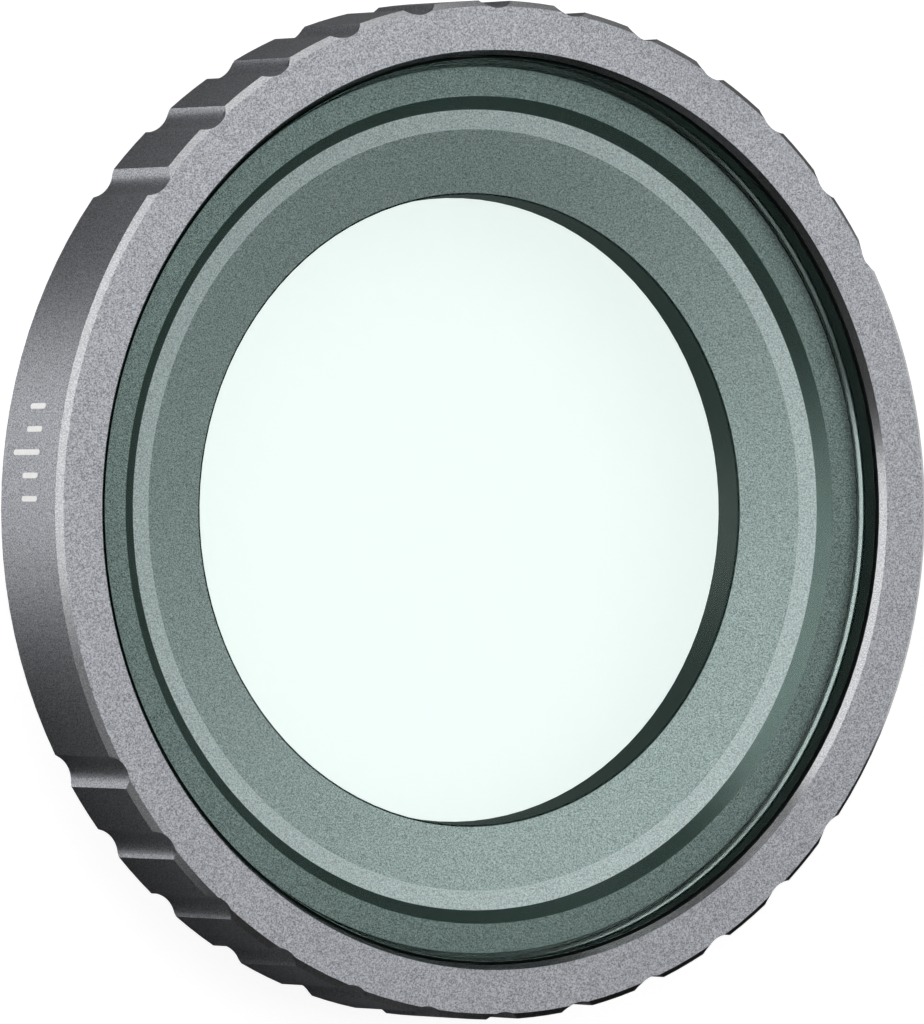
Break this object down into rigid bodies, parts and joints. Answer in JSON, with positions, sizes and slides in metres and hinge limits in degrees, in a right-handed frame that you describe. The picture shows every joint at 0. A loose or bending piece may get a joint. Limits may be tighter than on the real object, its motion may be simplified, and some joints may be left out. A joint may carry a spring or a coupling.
{
  "type": "uv lens filter",
  "caption": "Round screw-in lens filter: fluted aluminium grip ring, clear glass bonded over a dished aperture flange, and a threaded rear spigot with a seal ring.",
  "frame": {"origin": "centre of the rear end of the thread spigot, the lowest plane of the filter as it lies front face up", "axes": "+Z along the optical axis towards the front face, the two groups of grip flutes centred on +Y and -Y"},
  "size_m": [0.031, 0.031, 0.0063],
  "materials": {
    "anodised_frame": "bead-blasted, grey anodised",
    "coated_glass": "polished, coated",
    "bonding_compound": "smooth, cured",
    "seal_rubber": "moulded, satin"
  },
  "bodies": {
    "root": {"filter_frame": "anodised_frame", "uv_glass": "coated_glass", "glass_bond": "bonding_compound", "seal_ring": "seal_rubber"}
  },
  "joints": []
}
